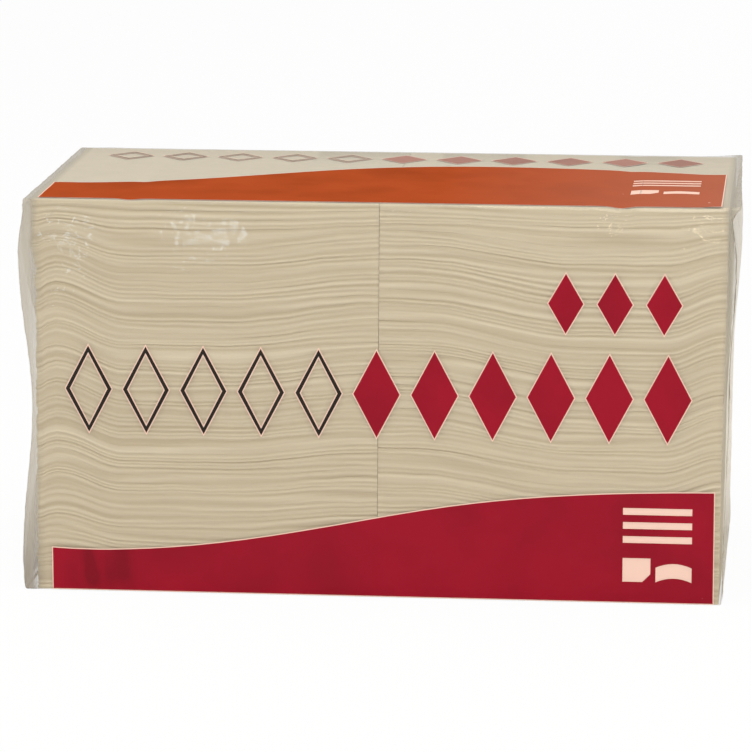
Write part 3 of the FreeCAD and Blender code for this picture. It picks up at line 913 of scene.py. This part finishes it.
def make_ink(name, colour, roughness, glare, right_sheen_colour=None):
    """Ink with painted shade in the creases, whose colour may drift to a painted sheen at the right."""
    material, nodes, links, shader = new_material(name)
    place = add_node(nodes, "ShaderNodeTexCoord")
    cloud = add_node(nodes, "ShaderNodeTexNoise")
    set_inputs(cloud, Scale=30.0, Detail=3.0)
    links.new(place.outputs["Object"], cloud.inputs["Vector"])
    # Painted shade: the shade attribute darkens the ink along the creases, over a random mottle.
    shade = add_node(nodes, "ShaderNodeAttribute", attribute_name="shade")
    mottle_and_crease_shade = add_node(nodes, "ShaderNodeMath", operation="MULTIPLY_ADD")
    mottle_and_crease_shade.inputs[1].default_value = -1.2
    links.new(shade.outputs["Fac"], mottle_and_crease_shade.inputs[0])
    links.new(cloud.outputs["Fac"], mottle_and_crease_shade.inputs[2])
    deep = tuple(value * 0.66 for value in colour)
    tint = ramp_between(nodes, 0.05, deep, 0.6, colour)
    links.new(mottle_and_crease_shade.outputs[0], tint.inputs["Fac"])
    ground = add_node(nodes, "ShaderNodeAttribute", attribute_name="ground")
    cover = add_node(nodes, "ShaderNodeMix", data_type="RGBA")
    cover.inputs[7].default_value = (*PALE_GROUND, 1)
    links.new(ground.outputs["Fac"], cover.inputs[0])
    # Painted sheen: towards the right the colour drifts to a lighter one.
    if right_sheen_colour:
        split = add_node(nodes, "ShaderNodeSeparateXYZ")
        links.new(place.outputs["Object"], split.inputs[0])
        sheen_share = add_node(nodes, "ShaderNodeMath", operation="MULTIPLY_ADD", use_clamp=True)
        sheen_share.inputs[1].default_value = 6.2
        sheen_share.inputs[2].default_value = -0.14
        links.new(split.outputs["X"], sheen_share.inputs[0])
        drift = add_node(nodes, "ShaderNodeMix", data_type="RGBA")
        drift.inputs[7].default_value = (*right_sheen_colour, 1)
        links.new(sheen_share.outputs[0], drift.inputs[0])
        links.new(tint.outputs["Color"], drift.inputs[6])
        links.new(drift.outputs[2], cover.inputs[6])
    else:
        links.new(tint.outputs["Color"], cover.inputs[6])
    links.new(cover.outputs[2], shader.inputs["Base Color"])
    ripple = add_node(nodes, "ShaderNodeTexNoise")
    set_inputs(ripple, Scale=55.0, Detail=2.0, Roughness=0.5)
    links.new(place.outputs["Object"], ripple.inputs["Vector"])
    bump = add_node(nodes, "ShaderNodeBump")
    set_inputs(bump, Strength=0.3, Distance=0.001)
    links.new(ripple.outputs["Fac"], bump.inputs["Height"])
    links.new(bump.outputs["Normal"], shader.inputs["Normal"])
    set_inputs(shader, Roughness=roughness)
    shader.inputs["Specular IOR Level"].default_value = glare
    return material


red_ink = make_ink("red_ink", (0.315, 0.004, 0.0185), 0.3, 0.12)
black_ink = make_ink("black_ink", (0.022, 0.016, 0.011), 0.3, 0.15)
# The top band uses the red ink painted orange for how the light falls on the top, with a painted sheen towards
# the right.
orange_ink = make_ink("orange_ink", (0.41, 0.072, 0.02), 0.4, 0.0, (0.44, 0.145, 0.09))
# Paler copies of the red and black inks for the top, with the film's glare painted into their colour.
red_ink_painted_glare = make_ink("red_ink_under_glare", (0.40, 0.20, 0.155), 0.5, 0.1)
black_ink_painted_glare = make_ink("black_ink_under_glare", (0.28, 0.23, 0.17), 0.5, 0.1)
PRINTS = [
    ("print_band_front", "red_ink", FRONT, red_ink),
    ("print_outlines_front", "black_ink", FRONT, black_ink),
    ("print_lozenges_front", "red_ink", FRONT, red_ink),
    ("print_badge_front", "red_ink", FRONT, red_ink),
    ("print_band_top", "orange_ink", TOP, orange_ink),
    ("print_outlines_top", "black_ink", TOP, black_ink_painted_glare),
    ("print_lozenges_top", "red_ink", TOP, red_ink_painted_glare),
]
for node, slot, facing, ink in PRINTS:
    field = lay_print(node, slot, facing, ink)
    print(field.name, len(field.data.polygons), "faces")

# %% [markdown]
# All the film is one piece, so the flaps and the seam join the wrap now that
# nothing more has to be laid on it.

# %% Join the film
deselect_all()
for sheet in folds:
    sheet.select_set(True)
wrap.select_set(True)
bpy.context.view_layer.objects.active = wrap
bpy.ops.object.join()
wrap.name = "film_sleeve"
wrap.data.materials.clear()
wrap.data.materials.append(film)
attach(wrap, "root")
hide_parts("film_wrap")
print("film:", len(wrap.data.polygons), "faces")

# %% [markdown]
# The stage is a pale floor and an even backdrop. Wide soft lamps keep the
# paper's waves gentle, and the camera stands where the photographer stood:
# a little to the right of the middle, a little above, and far away.

# %% Floor and backdrop
FLOOR_GLOW = 0.95


def make_stage_material():
    material, nodes, links, shader = new_material("studio_white")
    output = nodes["Material Output"]
    shader.inputs["Base Color"].default_value = (0.86, 0.86, 0.86, 1)
    set_inputs(shader, Roughness=0.9)
    path = add_node(nodes, "ShaderNodeLightPath")
    glow = add_node(nodes, "ShaderNodeEmission")
    glow.inputs["Color"].default_value = (1, 1, 1, 1)
    mix = add_node(nodes, "ShaderNodeMixShader")
    half = add_node(nodes, "ShaderNodeMath", operation="MULTIPLY")
    half.inputs[1].default_value = FLOOR_GLOW
    links.new(path.outputs["Is Camera Ray"], half.inputs[0])
    links.new(half.outputs[0], mix.inputs[0])
    links.new(shader.outputs[0], mix.inputs[1])
    links.new(glow.outputs[0], mix.inputs[2])
    links.new(mix.outputs[0], output.inputs["Surface"])
    return material


deselect_all()
bpy.ops.mesh.primitive_plane_add(size=12, location=(0, 0, 0))
floor = bpy.context.active_object
floor.name = "floor"
floor.data.materials.append(make_stage_material())

world = bpy.data.worlds.new("studio") if not bpy.context.scene.world else bpy.context.scene.world
bpy.context.scene.world = world
world.use_nodes = True
sky = world.node_tree.nodes["Background"]
sky.inputs["Color"].default_value = (1, 1, 1, 1)
sky.inputs["Strength"].default_value = 0.55
sky_path = world.node_tree.nodes.new("ShaderNodeLightPath")
sky_pick = world.node_tree.nodes.new("ShaderNodeMath")
sky_pick.operation = "MULTIPLY_ADD"
sky_pick.inputs[1].default_value = 0.5
sky_pick.inputs[2].default_value = 0.5
world.node_tree.links.new(sky_path.outputs["Is Camera Ray"], sky_pick.inputs[0])
world.node_tree.links.new(sky_pick.outputs[0], sky.inputs["Strength"])


# %% Lamps
def add_lamp(name, place, aim, size, power, colour=(1, 1, 1), mirrored=True):
    data = bpy.data.lights.new(name, "AREA")
    data.shape = "RECTANGLE"
    data.size, data.size_y = size
    data.energy = power
    data.color = colour
    lamp = bpy.data.objects.new(name, data)
    bpy.context.collection.objects.link(lamp)
    lamp.visible_glossy = mirrored
    lamp.location = place
    lamp.rotation_euler = (Vector(aim) - Vector(place)).to_track_quat("-Z", "Y").to_euler()
    return lamp


middle = (0, 0, PACK_HEIGHT / 2)
add_lamp("ceiling_softbox", (-0.2, -0.5, 1.7), middle, (1.6, 1.2), 17, (1, 0.97, 0.93))
add_lamp("front_softbox", (0.5, -2.2, 1.0), middle, (1.2, 1.0), 10, (1, 0.975, 0.94))
add_lamp("left_softbox", (-2.0, 0.4, 0.9), middle, (1.8, 1.4), 5, (1, 0.98, 0.95), False)
add_lamp("right_softbox", (2.0, 0.5, 0.9), middle, (1.8, 1.4), 5, (1, 0.98, 0.95), False)
add_lamp("back_softbox", (0.8, 2.0, 0.9), middle, (1.8, 1.4), 6, (1, 0.98, 0.95), False)
add_lamp("small_window", (0.75, -2.0, 1.0), middle, (0.3, 0.4), 5.5, (1, 0.975, 0.94))


# %% Camera
CAMERA_AZIMUTH = math.radians(5.59)
CAMERA_ELEVATION = math.radians(11.39)
CAMERA_DISTANCE = 1.975
CAMERA_AIM = Vector((-0.00085, 0, 0.0866))
FOCAL_PIXELS = 4428
FRAME_PIXELS = 752
SHIFT_PIXELS = (-15.5, -8.2)
SENSOR_WIDTH = 36

camera_data = bpy.data.cameras.new("camera")
camera_data.sensor_width = SENSOR_WIDTH
camera_data.lens = SENSOR_WIDTH * FOCAL_PIXELS / FRAME_PIXELS
camera_data.shift_x = SHIFT_PIXELS[0] / FRAME_PIXELS
camera_data.shift_y = SHIFT_PIXELS[1] / FRAME_PIXELS
camera_data.clip_end = 100
camera = bpy.data.objects.new("camera", camera_data)
bpy.context.collection.objects.link(camera)
away = Vector((
    math.sin(CAMERA_AZIMUTH) * math.cos(CAMERA_ELEVATION),
    -math.cos(CAMERA_AZIMUTH) * math.cos(CAMERA_ELEVATION),
    math.sin(CAMERA_ELEVATION),
))
camera.location = CAMERA_AIM + away * CAMERA_DISTANCE
camera.rotation_euler = (-away).to_track_quat("-Z", "Y").to_euler()
bpy.context.scene.camera = camera
bpy.context.scene.view_settings.view_transform = "Standard"

# %% [markdown]
# The film mirrors a few bright panes near the top of its front. Each pane is
# a small dim lamp that stands where the camera's ray goes after it bounces
# off the film at the chosen place. Lamps shine one way only, and these have
# their backs to the camera.

# %% Reflected panes
PANE_AWAY = 0.5
PANE_BRIGHTNESS = 9.0
COOL, WARM = (0.5, 0.7, 1.0), (1.0, 0.9, 0.75)
PANES = [
    (-131, 158, 7, 15, COOL), (-81, 160, 8, 15, COOL), (-66, 160, 12, 12, COOL), (-134, 142, 3, 7, COOL),
    (144, 168.4, 14, 6, WARM), (101, 170.5, 8, 4, WARM),
]

for index, (x, z, wide, high, colour) in enumerate(PANES):
    spot = Vector((x * MM, FILM_FRONT, z * MM))
    ray = (spot - camera.location).normalized()
    bounced = Vector((ray.x, -ray.y, ray.z))
    power = PANE_BRIGHTNESS * math.pi * wide * high * MM * MM
    pane = add_lamp(f"pane_{index}", spot + bounced * PANE_AWAY, spot, (wide * MM, high * MM), power, colour)
    print(pane.name, [round(value, 3) for value in pane.location])
